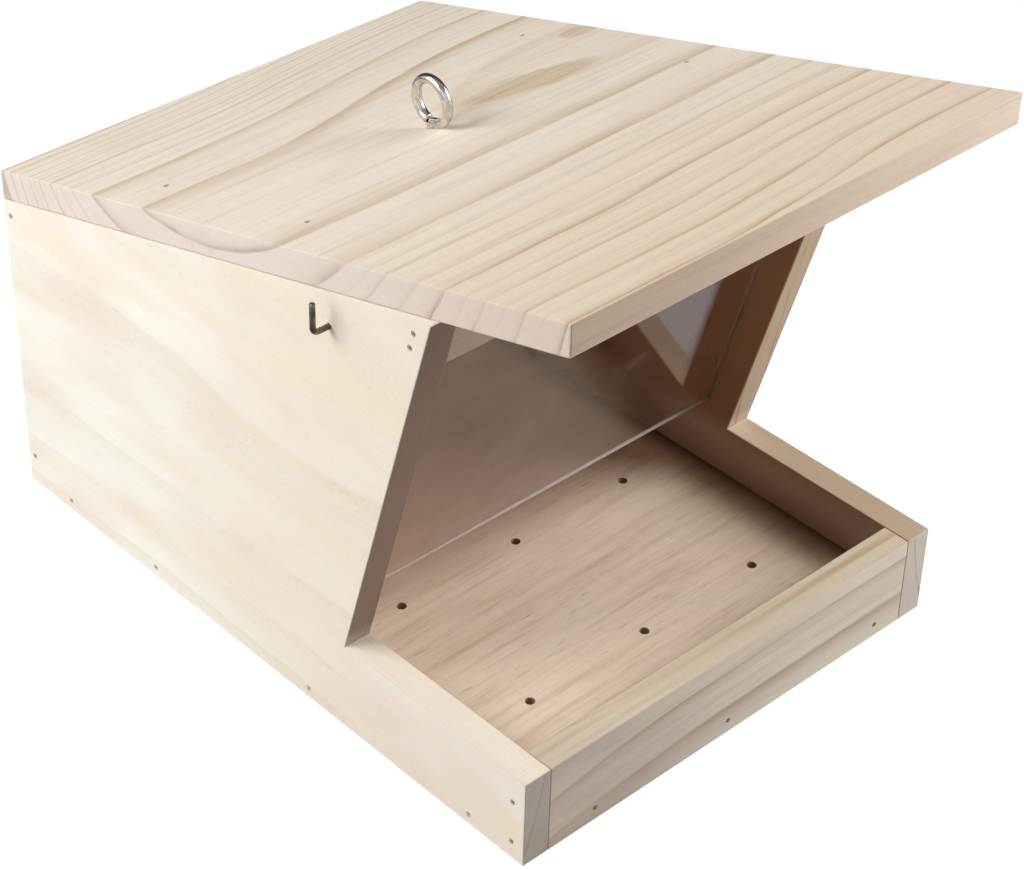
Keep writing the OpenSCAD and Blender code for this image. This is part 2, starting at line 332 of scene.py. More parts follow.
# %% [markdown]
# ## One finish for every board, with its own log
# The boards of one feeder come from different logs: the roof is a wide, strongly figured board, the
# sides are pale and quiet, the floor is pinker and full of short dark ducts. So one recipe takes the
# board's lay, its log and its tones. A log says how strong each mark is, and the tones follow the
# photograph. Bare planed wood is rough, a little less so on the hard late wood. The end grain takes up
# more dirt, and the eased edges are polished a little darker by hands.

# %% Sizes and defaults of the pine recipe
# Patterns are given in millimetres, along the grain, across it and out of the face.
streak_size = (70, 2.6, 2.6)
fibre_size = (14, 0.45, 0.45)
patch_size = (55, 26, 26)
duct_size = (3.2, 0.42, 0.42)
pore_size = (0.7, 0.45, 0.45)
sap_size = (120, 17, 17)

# How squarely the grain has to meet the surface where end grain starts, and where it is full.
end_grain_from, end_grain_to = 0.55, 0.85
grain_relief = 0.3
grain_height = 0.12 * MM
bore_shade = colour(104, 72, 50)
usual_log = {"lean": 0.0, "ripple": 0.25, "arcs": 0.35, "worn": 0.25}
print("A log has these unless it says otherwise:", usual_log)

# %% The pine recipe


def pine(name, lay, log, tones, rings=even_rings, extra=None, stain=None):
    finish, bench, shader = new_finish(name)
    log = {**usual_log, **log}
    tones = {tone: colour(*screen) for tone, screen in tones.items()}
    place, parts = board_place(bench, lay)
    across = parts[1]
    late = rings(bench, place, parts, log)
    late = bench.times(late, bench.ease(bench.noise(place, (70, 9, 9)), 0.3, 0.65, 0.62, 1.0))

    streaks = bench.noise(place, streak_size, 3.0, 0.55)
    fibres = bench.noise(place, fibre_size, 2.0, 0.6)
    patches = bench.noise(place, patch_size, 2.0, 0.5)
    specks = bench.noise(place, duct_size, 0.0)

    facing = bench.size_of(bench.faces(lay["along"]))
    end_grain = bench.ease(facing, end_grain_from, end_grain_to)
    on_sides = bench.ease(facing, end_grain_from, end_grain_to, 1.0, 0.15)

    strength = log["strength"]
    late_share = bench.ease(facing, end_grain_from, end_grain_to, strength, 0.45 * strength)
    wood = bench.blend(bench.times(late, late_share), tones["early"], tones["late"])
    if extra:
        wood = extra(bench, place, parts, wood, tones)
    # Painted shade: the board darkens slowly towards one end, away from the lamps.
    if "fore" in tones:
        way, start, end = log["fore"]
        wood = bench.blend(bench.ease(parts[way], start, end), wood, tones["fore"], "MULTIPLY")
    wood = bench.blend(bench.ease(patches, 0.42, 0.72, 0.0, log["blush"]), wood, tones["blush"])
    if "honey" in tones:
        sap = bench.noise(place, sap_size, 2.0, 0.45)
        wood = bench.blend(bench.ease(sap, 0.45, 0.64, 0.0, 0.6), wood, tones["honey"])
    streaky = bench.times(bench.ease(streaks, 0.45, 0.75, 0.0, log["streak"]), on_sides)
    wood = bench.blend(streaky, wood, tones["late"])
    if stain:
        wood = stain(bench, parts, wood, tones)
    grey = bench.ease(fibres, 0.3, 0.7, 1.0 - log["fibre"], 1.0 + 0.5 * log["fibre"])
    wood = bench.blend(1.0, wood, bench.node("ShaderNodeCombineXYZ", grey, grey, grey), "MULTIPLY")
    ducts = bench.ease(specks, 0.715, 0.79, 0.0, log["ducts"])
    ducts = bench.times(bench.times(ducts, on_sides), bench.ease(late, 0.0, 0.5, 0.35, 1.0))
    wood = bench.blend(ducts, wood, tones["duct"])

    pores = bench.noise(place, pore_size, 1.0)
    # Painted shade: higher up, on the slanted ends that face down under the roof, the end grain takes a
    # darker tone.
    higher = bench.ease(across, tray_h, tray_h + 7.0)
    end_tone = bench.blend(higher, tones["end"], tones.get("end_high", tones["end"]))
    wood = bench.blend(bench.times(end_grain, log["end"]), wood, end_tone, "MULTIPLY")
    if "pale" in tones:
        low_end = bench.times(end_grain, bench.ease(across, tray_h + 7.0, tray_h, 0.0, log["pale"]))
        wood = bench.blend(low_end, wood, tones["pale"])
    arcs = bench.times(bench.times(end_grain, bench.power(late, 2.4)), log["arcs"])
    arcs = bench.sum(arcs, bench.times(end_grain, bench.ease(pores, 0.45, 0.8, 0.0, 0.03)))
    wood = bench.blend(arcs, wood, tones["duct"])
    # Painted shade inside the bores: the small faces of their walls are darkened.
    bored = bench.node("ShaderNodeAttribute", attribute_name="bored", out=2)
    wood = bench.blend(bench.times(bored, 0.5), wood, bore_shade)
    worn = bench.node("ShaderNodeAttribute", attribute_name="eased", out=2)
    wood = bench.blend(bench.times(worn, log["worn"]), wood, tones["late"])
    bench.feed(shader.inputs["Base Color"], wood)

    rough = bench.ease(fibres, 0.3, 0.7, 0.58, 0.72)
    rough = bench.less(rough, bench.times(late, 0.1))
    rough = bench.less(rough, bench.times(worn, 0.08))
    bench.feed(shader.inputs["Roughness"], rough)
    shader.inputs["Specular IOR Level"].default_value = 0.3

    height = bench.sum(bench.times(fibres, 0.6), bench.times(streaks, 0.4))
    height = bench.less(bench.sum(height, bench.times(late, 0.5)), bench.times(ducts, 1.2))
    bump = bench.node("ShaderNodeBump", grain_relief, grain_height, None, height)
    bench.feed(shader.inputs["Normal"], bump)
    print(name, "has", len(finish.node_tree.nodes), "nodes")
    return finish


# %% [markdown]
# ## The roof board's log
# The roof shows its log best. The pith ran above the board, near its middle, so the rings come out as
# long lines, close together at the back and wide apart in the middle, and they bend round the end grain
# as shallow bowls. Each ring is set by its own radius. Two flames lie where a ring only just touches the
# face, and the roof's front edge is made a little greyer.

# %% Rings of the roof board
roof_rings = [
    (74.6, 0.35), (83.0, 0.95), (95.8, 0.75), (101.5, 0.3), (105.8, 0.8), (113.8, 0.4), (121.5, 1.0),
    (127.8, 0.35), (133.5, 0.9), (139.0, 0.4), (145.0, 0.9), (150.5, 0.3), (156.6, 0.95), (169.0, 0.8),
    (181.0, 0.75),
]


def arched_rings(bench, place, parts, log):
    """The roof's rings, round a pith that comes nearer to the board from left to right."""
    along, across, out = parts
    left_pith, right_pith = (101.0, 77.0), (90.0, 72.0)
    turn = bench.ease(along, -42.0, 62.0)
    middle, above = (
        bench.less(left, bench.times(turn, left - right)) for left, right in zip(left_pith, right_pith))
    drift = bench.waver(place, (60, 40, 40), 2.2)
    ripple = bench.waver(place, (24, 6, 6), 0.35)
    offset = bench.sum(bench.less(across, middle), drift)
    behind = bench.larger(bench.times(offset, -1.0), 0.0)
    beyond = bench.larger(bench.less(behind, 45.0), 0.0)
    closer = bench.times(bench.times(beyond, beyond), 0.021)
    side = bench.sum(bench.size_of(offset), closer)
    radius = bench.sum(bench.span(side, bench.less(above, out)), ripple)
    return set_rings(bench, radius, roof_rings, 4.5, 0.12)


# Each flame: its place along the roof and forward of its back edge, half its length, half its width
# and its slant.
roof_flames = [(36.0, 99.0, 25.0, 8.2, 0.17), (76.0, 79.0, 9.0, 4.5, 0.1)]


def roof_flame(bench, place, parts, wood, tones):
    """The flame where one ring just touches the face, and a small one at the right edge."""
    along, across, out = parts
    lines = bench.ease(bench.noise(place, (60, 1.6, 1.6), 2.0, 0.5), 0.35, 0.65, 0.55, 1.0)
    for at, forward, half_long, half_wide, slant in roof_flames:
        run = bench.less(along, at)
        lift = bench.less(bench.less(across, forward), bench.times(run, slant))
        lift = bench.sum(lift, bench.waver(place, (14, 6, 6), 3.2, 2.0))
        far = bench.span(bench.times(run, 1 / half_long), bench.times(lift, 1 / half_wide))
        inside = bench.times(bench.ease(far, 0.7, 1.05, 0.85, 0.0), lines)
        on_face = bench.ease(out, -3.0, -1.0)
        wood = bench.blend(bench.times(inside, on_face), wood, tones["flame"])
    return wood


def roof_lip(bench, parts, wood, tones):
    """The roof's front edge is greyer than its face, most of all towards its left end."""
    forward = bench.faces(Vector(roof_forward))
    lip = bench.times(bench.ease(forward, 0.7, 0.9), bench.ease(parts[0], 95.0, -70.0))
    return bench.blend(lip, wood, tones["lip"], "MULTIPLY")


print("Rings in the roof board's log:", len(roof_rings), "and flames:", len(roof_flames))

# %% [markdown]
# ## The front board, the sides and the floor
# Two broad bands of late wood climb away from the front board's left end and then run level, and they
# turn over its top edge, which has one warm line along it. The side boards have tones of their own round
# the tray, and their inner faces are painted browner and darker as shade, most of all the right one's.
# The floor's bands are faint. Its figure is many short dark dashes, which are resin ducts cut lengthwise,
# in rows along the grain. Its two ends by the side walls and its part under the silo are painted darker
# as shade.

# %% Figure of the front board
# Each band: its height on the board's face, in millimetres, and how deep its tone is.
front_bands = [(-3.5, 0.6), (10.2, 0.95), (16.5, 0.25), (24.0, 1.0), (36.0, 0.5)]


def climbing_rings(bench, place, parts, log):
    """Bands that climb away from the board's left end and then run level."""
    along, across, out = parts
    left_end, climb_length, climb, over_the_edge = 70.0, 32, 6.5, 1.06
    run = bench.times(bench.sum(along, left_end), -1 / climb_length)
    fall = bench.node("ShaderNodeMath", run, operation="EXPONENT")
    level = bench.sum(across, bench.sum(bench.times(fall, climb), bench.times(out, over_the_edge)))
    level = bench.sum(level, bench.waver(place, (70, 30, 30), 1.2))
    level = bench.sum(level, bench.waver(place, (16, 6, 6), 0.25))
    return set_rings(bench, level, front_bands, 3.2, 0.2)


def sap_on_top(bench, place, parts, wood, tones):
    """The board's top edge runs through yellower sapwood, with one warm line along it."""
    _, across, out = parts
    top = bench.ease(across, tray_h - 0.7, tray_h - 0.1)
    wood = bench.blend(bench.times(top, 0.5), wood, tones["sap"])
    warm_line = 5.6
    aside = bench.sum(out, bench.sum(warm_line, bench.waver(place, (80, 30, 30), 1.6)))
    line = bench.ease(bench.size_of(aside), 0.2, 1.3, 0.5, 0.0)
    return bench.blend(bench.times(top, line), wood, tones["warm"])


print("Bands of the front board:", len(front_bands))

# %% Colours of the side boards


def side_colours(bench, place, parts, wood, tones):
    """The low tray end of a side board and its rim have tones of their own."""
    along, across, _ = parts
    forward = bench.ease(along, notch_y + 10.0, notch_y - 22.0, 0.0, 0.6)
    wood = bench.blend(bench.times(forward, bench.ease(across, 44.0, 18.0)), wood, tones["tray"])
    rim = bench.ease(across, tray_h - 0.7, tray_h - 0.1)
    rim = bench.times(rim, bench.ease(across, tray_h + 0.6, tray_h + 0.2))
    rim = bench.times(rim, bench.ease(along, notch_y + 0.5, notch_y - 0.5))
    return bench.blend(rim, wood, tones["sap"])


def paint_shade_inside(bench, parts, wood, tones):
    """Painted shade on the face towards the seed: browner and darker, a little more so above the tray's
    rim.
    """
    along, across, out = parts
    inner = bench.ease(out, 0.35 - side_t, 0.2 - side_t)
    higher = bench.ease(across, tray_h - 5.0, tray_h + 7.0, 0.66, 0.92)
    share = bench.times(bench.times(inner, higher), bench.ease(along, -25.0, 5.0, 1.0, 0.9))
    return bench.blend(share, wood, tones["heart"], "MULTIPLY")


print("The side boards change tone from y", notch_y + 10.0, "to", notch_y - 22.0)

# %% Dashes and painted shade of the floor


def floor_dashes(bench, place, parts, wood, tones):
    """Short dark resin ducts, in rows along the grain."""
    across = parts[1]
    lines = bench.times(bench.sum(across, bench.waver(place, (110, 30, 30), 3.0)), 2.2)
    rows = bench.ease(bench.node("ShaderNodeMath", lines, operation="SINE"), -0.3, 0.8, 0.12, 1.0)
    streaks = bench.ease(bench.noise(place, (40, 3.0, 3.0), 2.0, 0.5), 0.48, 0.75, 0.0, 0.5)
    wood = bench.blend(streaks, wood, tones["late"])
    dashes = bench.ease(bench.noise(place, (8.0, 1.1, 1.1), 1.0), 0.6, 0.82, 0.0, 0.42)
    return bench.blend(bench.times(dashes, rows), wood, tones["duct"])


def paint_floor_shade(bench, parts, wood, tones):
    """Painted shade: the floor darkens towards its ends by the side walls, and under the silo, most to
    the left.
    """
    along, across, _ = parts
    wood = bench.blend(bench.ease(bench.size_of(along), 59.0, 71.0), wood, tones["damp"], "MULTIPLY")
    under_silo = bench.times(bench.ease(across, -24.0, 8.0), bench.ease(along, 5.0, 60.0, 1.0, 0.6))
    return bench.blend(under_silo, wood, tones["silo"], "MULTIPLY")


# %% [markdown]
# ## The boards' own tones
# Now each board gets its lay, its log and its tones. The tones are screen colours, from 0 to 255, as a
# render and a photograph are compared on a screen. The recipe turns them into light.
# Early and late are the two parts of a ring, blush and honey are slow changes of tint, duct is resin,
# and end is how much the end grain darkens them all. Fore is painted shade, a slow darkening away from
# the lamps. The boards that the photograph hides follow the ones beside them.

# %% The roof's pine
roof_forward = (0, -math.cos(roof_pitch), math.sin(roof_pitch))
roof_out = (0, math.sin(roof_pitch), math.cos(roof_pitch))
roof_pine = pine(
    "roof_pine", lay_of((1, 0, 0), roof_forward, roof_out, (0, back_y, roof_top_at_back)),
    {
        "strength": 0.95, "fibre": 0.04, "ducts": 0.25, "blush": 0.4, "streak": 0.24, "end": 0.7,
        "arcs": 0.8, "worn": 0.06, "fore": (1, 120.0, 240.0),
    },
    {
        "early": (249, 238, 222), "late": (198, 164, 117), "blush": (243, 224, 207),
        "duct": (130, 106, 102), "end": (204, 202, 212), "flame": (207, 179, 142),
        "fore": (248, 241, 233), "lip": (216, 207, 205),
    },
    rings=arched_rings, extra=roof_flame, stain=roof_lip)

# %% The side boards' pine
left_pine = pine(
    "left_side_pine", lay_of((0, 1, 0), (0, 0, 1), (-1, 0, 0), (-body_w / 2, 0, 0)),
    {
        "strength": 0.34, "fibre": 0.02, "ducts": 0.2, "blush": 0.6, "streak": 0.1, "end": 0.95,
        "arcs": 0.6, "waver": 1.6, "fore": (0, 60.0, -30.0),
        "rings": [(-3.5, 0.4), (1.4, 1.0), (5.1, 0.6), (9.9, 0.7), (15.4, 0.9), (18.0, 0.5), (21.0, 0.5)],
    },
    {
        "early": (234, 231, 223), "late": (206, 192, 170), "blush": (225, 207, 194),
        "honey": (228, 216, 193), "duct": (126, 102, 84), "end": (193, 190, 192),
        "end_high": (148, 126, 118), "heart": (238, 216, 204), "fore": (250, 243, 236),
        "sap": (240, 236, 227), "tray": (236, 236, 238),
    },
    rings=side_rings, extra=side_colours, stain=paint_shade_inside)
right_pine = pine(
    "right_side_pine", lay_of((0, 1, 0), (0, 0, 1), (1, 0, 0), (body_w / 2, 0, 0)),
    {
        "strength": 0.45, "fibre": 0.03, "ducts": 0.2, "blush": 0.5, "streak": 0.15, "end": 0.95,
        "arcs": 0.7, "waver": 1.8, "pale": 0.85,
        "rings": [(-3.0, 0.4), (2.2, 1.0), (6.4, 0.5), (11.0, 0.9), (15.0, 0.8), (19.0, 0.6)],
    },
    {
        "early": (233, 227, 216), "late": (206, 188, 162), "blush": (224, 207, 192),
        "honey": (229, 216, 193), "duct": (130, 100, 84), "end": (244, 244, 246),
        "end_high": (220, 197, 176), "pale": (208, 196, 184), "heart": (161, 109, 66),
        "sap": (215, 191, 165), "tray": (232, 226, 217),
    },
    rings=side_rings, extra=side_colours, stain=paint_shade_inside)

# %% The front board's pine
front_pine = pine(
    "front_pine", lay_of((1, 0, 0), (0, 0, 1), (0, -1, 0), (0, front_y, 0)),
    {
        "strength": 0.95, "fibre": 0.04, "ducts": 0.2, "blush": 0.35, "streak": 0.25, "end": 0.8,
        "arcs": 0.4, "fore": (0, 30.0, -68.0),
    },
    {
        "early": (225, 213, 199), "late": (172, 144, 116), "blush": (220, 203, 190),
        "duct": (140, 110, 90), "end": (205, 200, 198), "honey": (216, 200, 178),
        "sap": (246, 229, 200), "warm": (222, 184, 136), "fore": (220, 220, 221),
    },
    rings=climbing_rings, extra=sap_on_top)

# %% The floor's pine
floor_pine = pine(
    "floor_pine", lay_of((1, 0, 0), (0, 1, 0), (0, 0, 1), (0, 0, floor_t)),
    {
        "pith": (20.0, -160.0), "ring": 7.5, "waver": 5.0, "ripple": 0.6, "strength": 0.35,
        "fibre": 0.05, "ducts": 0.2, "blush": 0.5, "streak": 0.3, "end": 0.6,
    },
    {
        "early": (245, 228, 207), "late": (206, 178, 151), "blush": (240, 213, 196),
        "duct": (118, 88, 70), "end": (210, 200, 190), "damp": (104, 72, 48),
        "silo": (214, 190, 190),
    },
    extra=floor_dashes, stain=paint_floor_shade)

# %% The pine of the back, the rail and the cleats
back_pine = pine(
    "back_pine", lay_of((1, 0, 0), (0, 0, 1), (0, 1, 0), (0, back_y, 0)),
    {
        "pith": (35.0, -55.0), "ring": 8.0, "waver": 5.0, "lean": 0.05, "strength": 0.6,
        "fibre": 0.05, "ducts": 0.3, "blush": 0.5, "streak": 0.3, "end": 0.7,
    },
    {
        "early": (228, 211, 190), "late": (192, 162, 132), "blush": (220, 196, 174),
        "duct": (140, 110, 88), "end": (212, 206, 200),
    })
rail_pine = pine(
    "rail_pine", lay_of((1, 0, 0), (0, 0, 1), (0, -1, 0), (0, -60, 140)),
    {
        "pith": (-60.0, -30.0), "ring": 5.0, "waver": 2.0, "strength": 0.5,
        "fibre": 0.05, "ducts": 0.3, "blush": 0.4, "streak": 0.3, "end": 0.7,
    },
    {
        "early": (186, 168, 150), "late": (158, 132, 109), "blush": (181, 160, 142),
        "duct": (136, 106, 84), "end": (212, 206, 200),
    })
cleat_pine = pine(
    "cleat_pine", lay_of((0, math.cos(roof_pitch), -math.sin(roof_pitch)), roof_out, (1, 0, 0)),
    {
        "pith": (200.0, 20.0), "ring": 4.5, "waver": 2.0, "strength": 0.6,
        "fibre": 0.06, "ducts": 0.3, "blush": 0.4, "streak": 0.4, "end": 0.8,
    },
    {
        "early": (220, 200, 176), "late": (182, 150, 120), "blush": (212, 186, 164),
        "duct": (130, 98, 76), "end": (208, 200, 194),
    })

# %% [markdown]
# ## Easing the edges
# A joiner runs sandpaper along every edge, which leaves a soft line that catches the light. The CAD
# solids have dead sharp edges. So each board is copied, its loose triangles are joined and flattened
# back into whole faces, and only its long outer edges are rounded. The holes keep their crisp rims. The
# rounded strips are marked, so that the finish can show hand wear there.

# %% Ease one board
same_point = 0.002 * MM
still_flat = math.radians(0.5)
sharp_edge = math.radians(14)
shortest_edge = 1.0 * MM
widest_bore_facet = 0.3 * MM
largest_bore_facet = 4 * MM * MM


def eased_copy(node, ease, finish, body):
    shape = bmesh.new()
    shape.from_mesh(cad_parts[node].data)
    bmesh.ops.remove_doubles(shape, verts=shape.verts, dist=same_point)
    bmesh.ops.dissolve_limit(shape, angle_limit=still_flat, verts=shape.verts, edges=shape.edges)
    # The small faces of the bores are marked, so that the finish can paint shade on them.
    bore = shape.faces.layers.float.new("bored")
    for face in shape.faces:
        narrow = min(edge.calc_length() for edge in face.edges) < widest_bore_facet
        face[bore] = float(narrow and len(face.verts) == 4 and face.calc_area() < largest_bore_facet)
    mark = shape.faces.layers.float.new("eased")
    outer = [
        edge for edge in shape.edges
        if len(edge.link_faces) == 2 and edge.is_convex
        and edge.calc_length() > shortest_edge and edge.calc_face_angle() > sharp_edge
    ]
    rounded = bmesh.ops.bevel(
        shape, geom=outer, offset=ease * MM, offset_type="OFFSET", segments=2, profile=0.5,
        affect="EDGES", clamp_overlap=True)
    for face in rounded["faces"]:
        face[mark] = 1.0
        face[bore] = 0.0
    for face in shape.faces:
        face.smooth = False
    mesh = bpy.data.meshes.new(node + "_eased")
    shape.to_mesh(mesh)
    shape.free()
    mesh.materials.append(finish)
    board = bpy.data.objects.new(node + "_eased", mesh)
    scene.collection.objects.link(board)
    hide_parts(node)
    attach(board, body)
    print(node, "eased on", len(outer), "edges,", len(mesh.polygons), "faces")
    return board


# %% The boards of the box and the roof
for node, ease, finish, slot, body in (
    ("side_left", 0.35, left_pine, "side_wood", "housing"),
    ("side_right", 0.35, right_pine, "side_wood", "housing"),
    ("front_board", 0.35, front_pine, "front_wood", "housing"),
    ("floor_board", 0.3, floor_pine, "floor_wood", "housing"),
    ("back_board", 0.35, back_pine, "side_wood", "housing"),
    ("top_rail", 0.3, rail_pine, "front_wood", "housing"),
    ("roof_board", 0.4, roof_pine, "roof_wood", "roof"),
    ("cleat_left", 0.4, cleat_pine, "front_wood", "roof"),
    ("cleat_right", 0.4, cleat_pine, "front_wood", "roof"),
):
    eased_copy(node, ease, finish, body)

# %% [markdown]
# ## The acrylic pane
# The window is a 2 mm sheet of clear acrylic. It bends light a little, mirrors the white room at a
# slant, and its sawn edges look bright. Real acrylic in a workshop also carries a faint haze of dust and
# fine rubs, which go into the roughness. The last two millimetres above the lower edge are painted pale,
# as a highlight where light runs out of the sheet. Light has to reach the wood behind it, so lamps pass
# straight through, as they nearly do in life.

# %% Dust, rubs and a painted edge highlight on clear acrylic
acrylic, bench, glass = new_finish("clear_acrylic_sheet")
glass.inputs["Transmission Weight"].default_value = 1.0
glass.inputs["IOR"].default_value = 1.49
where = bench.place_in_mm()
dust = bench.noise(where, (9, 9, 9), 4.0, 0.65)
rubs = bench.noise(where, (30, 1.2, 0.6), 2.0)
haze = bench.sum(bench.ease(dust, 0.4, 0.75, 0.015, 0.06), bench.ease(rubs, 0.5, 0.8, 0.0, 0.04))
bench.feed(glass.inputs["Roughness"], haze)
tint = bench.blend(bench.ease(dust, 0.35, 0.75), (0.95, 0.93, 0.93, 1), (0.91, 0.885, 0.88, 1))
bench.feed(glass.inputs["Base Color"], tint)
bench.feed(glass.inputs["Normal"], bench.node("ShaderNodeBump", 0.1, 0.1 * MM, None, rubs))

fingered = bench.ease(bench.noise(where, (34, 34, 34), 1.0), 0.4, 0.65)
smudges = bench.times(bench.ease(dust, 0.42, 0.72), fingered)
film = bench.node("ShaderNodeBsdfDiffuse", (0.62, 0.58, 0.55, 1))
dust_and_glow = bench.node("ShaderNodeMixShader", bench.times(smudges, 0.05), glass.outputs[0], film)

up_the_sheet = Vector((0, -math.sin(side_slant), math.cos(side_slant)))
foot = min(up_the_sheet.dot(corner.co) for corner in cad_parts["window_pane"].data.vertices) / MM
above_foot = bench.less(bench.measure(where, up_the_sheet), foot)
# Painted highlight: a pale band along the lower edge, stronger towards the right.
glow_band = bench.ease(above_foot, 0.4, 2.2, 0.42, 0.0)
to_right = bench.measure(where, (1, 0, 0))
glow_band = bench.times(glow_band, bench.ease(to_right, -75.0, 35.0, 0.3, 1.0))
edge_glow = bench.node("ShaderNodeBsdfDiffuse", (0.93, 0.88, 0.86, 1))
dust_and_glow = bench.node("ShaderNodeMixShader", glow_band, dust_and_glow, edge_glow)
print("The pane's lower edge lies", round(foot, 1), "mm up the slant")

# %% Let lamps through the pane
ray = acrylic.node_tree.nodes.new("ShaderNodeLightPath").outputs
lamp_light = bench.larger(ray["Is Shadow Ray"], ray["Is Diffuse Ray"])
straight = bench.node("ShaderNodeBsdfTransparent", (0.93, 0.935, 0.93, 1))
seen = bench.node("ShaderNodeMixShader", lamp_light, dust_and_glow, straight)
bench.feed(acrylic.node_tree.nodes["Material Output"].inputs["Surface"], seen)

pane = eased_copy("window_pane", 0.4, acrylic, "window")

# %% [markdown]
# ## The pane's sawn edges
# The saw leaves the edges of an acrylic sheet frosted. They scatter light instead of letting it through,
# so the lower edge shows as one soft pale line over the seed gap. The faces of the mesh that don't look
# out through the sheet take this second finish.

# %% Frosted edges
frosted, bench, edge_shader = new_finish("frosted_acrylic_edge")
saw_marks = bench.noise(bench.place_in_mm(), (0.8, 0.5, 0.5), 3.0, 0.6)
edge_tone = bench.blend(bench.ease(saw_marks, 0.35, 0.7), colour(212, 202, 193), colour(170, 158, 147))
bench.feed(edge_shader.inputs["Base Color"], edge_tone)
bench.feed(edge_shader.inputs["Roughness"], bench.ease(saw_marks, 0.3, 0.7, 0.4, 0.6))
bench.feed(edge_shader.inputs["Normal"], bench.node("ShaderNodeBump", 0.3, 0.1 * MM, None, saw_marks))

pane.data.materials.append(frosted)
through = Vector((0, -math.cos(side_slant), -math.sin(side_slant)))
looks_through = 0.97
for face in pane.data.polygons:
    face.material_index = int(abs(face.normal.dot(through)) < looks_through)
print("Frosted faces of the pane:", sum(face.material_index for face in pane.data.polygons))

# %% [markdown]
# ## Metal finishes
# The screw eye is bright nickel plate, the two hooks are dull zinc wire, and the brads are bare steel
# wire. Plate is never quite even: it has soft ripples from the bending, fine draw marks along the wire
# and small dull spots, so its shine and its tint both vary.

# %% Nickel, zinc and steel


def plated(name, bright, dull, shine, spots, relief):
    finish, bench, shader = new_finish(name)
    shader.inputs["Metallic"].default_value = 1.0
    where = bench.place_in_mm()
    clouds = bench.noise(where, (2.4, 2.4, 2.4), 3.0, 0.6)
    grains = bench.noise(where, (0.35, 0.35, 0.35), 2.0, 0.6)
    bench.feed(shader.inputs["Base Color"], bench.blend(bench.ease(clouds, 0.38, 0.7), bright, dull))
    rough = bench.ease(clouds, 0.35, 0.7, shine, shine + spots)
    rough = bench.sum(rough, bench.ease(grains, 0.45, 0.75, 0.0, spots))
    bench.feed(shader.inputs["Roughness"], rough)
    height = bench.sum(bench.times(clouds, 0.5), bench.times(grains, 0.5))
    bench.feed(shader.inputs["Normal"], bench.node("ShaderNodeBump", relief, 0.08 * MM, None, height))
    return finish


nickel = plated("bright_nickel", colour(225, 221, 216), colour(192, 186, 179), 0.06, 0.08, 0.12)
zinc = plated("dull_zinc", colour(132, 126, 114), colour(88, 82, 73), 0.34, 0.2, 0.35)
steel = plated("brad_wire_steel", colour(165, 148, 128), colour(118, 100, 82), 0.5, 0.2, 0.4)
print("Metal finishes:", nickel.name, zinc.name, steel.name)

# %% [markdown]
# ## Bent wire with a rolled thread
# An eye and a hook are the same kind of thing: a length of wire, bent, with a thread rolled on one end
# and a point. A wire is a round section carried along a path, and a thread is a small ridge carried
# along a spiral. Geometry Nodes do both from named sizes, so one tree makes the eye and both hooks.

# %% The wire tree


def new_socket(tree, name, kind, way="INPUT"):
    """Adds a named socket to a tree, and gives back the identifier that a modifier knows it by."""
    made = tree.interface.new_socket(name=name, in_out=way, socket_type="NodeSocket" + kind)
    return made.identifier


wire_sides = 20
turn_points = 24
wire_tree = bpy.data.node_groups.new("Threaded wire", "GeometryNodeTree")
wire_inputs = {
    name: new_socket(wire_tree, name, kind)
    for name, kind in (
        ("Path", "Geometry"), ("Wire radius", "Float"), ("Thread pitch", "Float"),
        ("Thread length", "Float"), ("Ridge", "Float"), ("Thread start", "Vector"),
        ("Thread turn", "Vector"), ("Finish", "Material"))
}
new_socket(wire_tree, "Wire", "Geometry", "OUTPUT")
bench = Bench(wire_tree)
given = wire_tree.nodes.new("NodeGroupInput").outputs
path = bench.node("GeometryNodeMeshToCurve", given["Path"])
section = bench.node("GeometryNodeCurvePrimitiveCircle", wire_sides)
bench.feed(section.node.inputs["Radius"], given["Wire radius"])
thin = bench.node("GeometryNodeInputNamedAttribute", "thin", data_type="FLOAT")
wire = bench.node("GeometryNodeCurveToMesh", path, section, thin, True)
turns = bench.node("ShaderNodeMath", given["Thread length"], given["Thread pitch"], operation="DIVIDE")
crest = bench.less(given["Wire radius"], bench.times(given["Ridge"], 0.5))
spiral = bench.node("GeometryNodeCurveSpiral", turn_points, turns, crest, crest, given["Thread length"])
ridge = bench.node("GeometryNodeCurvePrimitiveCircle", 4)
bench.feed(ridge.node.inputs["Radius"], bench.times(given["Ridge"], 0.5))
thread = bench.node("GeometryNodeCurveToMesh", spiral, ridge, 1.0, True)
turned = bench.node("FunctionNodeEulerToRotation", given["Thread turn"])
thread = bench.node("GeometryNodeTransform", thread, given["Thread start"], turned)
both = wire_tree.nodes.new("GeometryNodeJoinGeometry")
wire_tree.links.new(thread, both.inputs[0])
wire_tree.links.new(wire, both.inputs[0])
smooth = bench.node("GeometryNodeSetShadeSmooth", both.outputs[0])
whole = bench.node("GeometryNodeRealizeInstances", smooth)
plated_wire = bench.node("GeometryNodeSetMaterial", whole, True, given["Finish"])
bench.feed(wire_tree.nodes.new("NodeGroupOutput").inputs[0], plated_wire)
print("Wire tree nodes:", len(wire_tree.nodes))

# %% Turn a tree's result into a plain piece


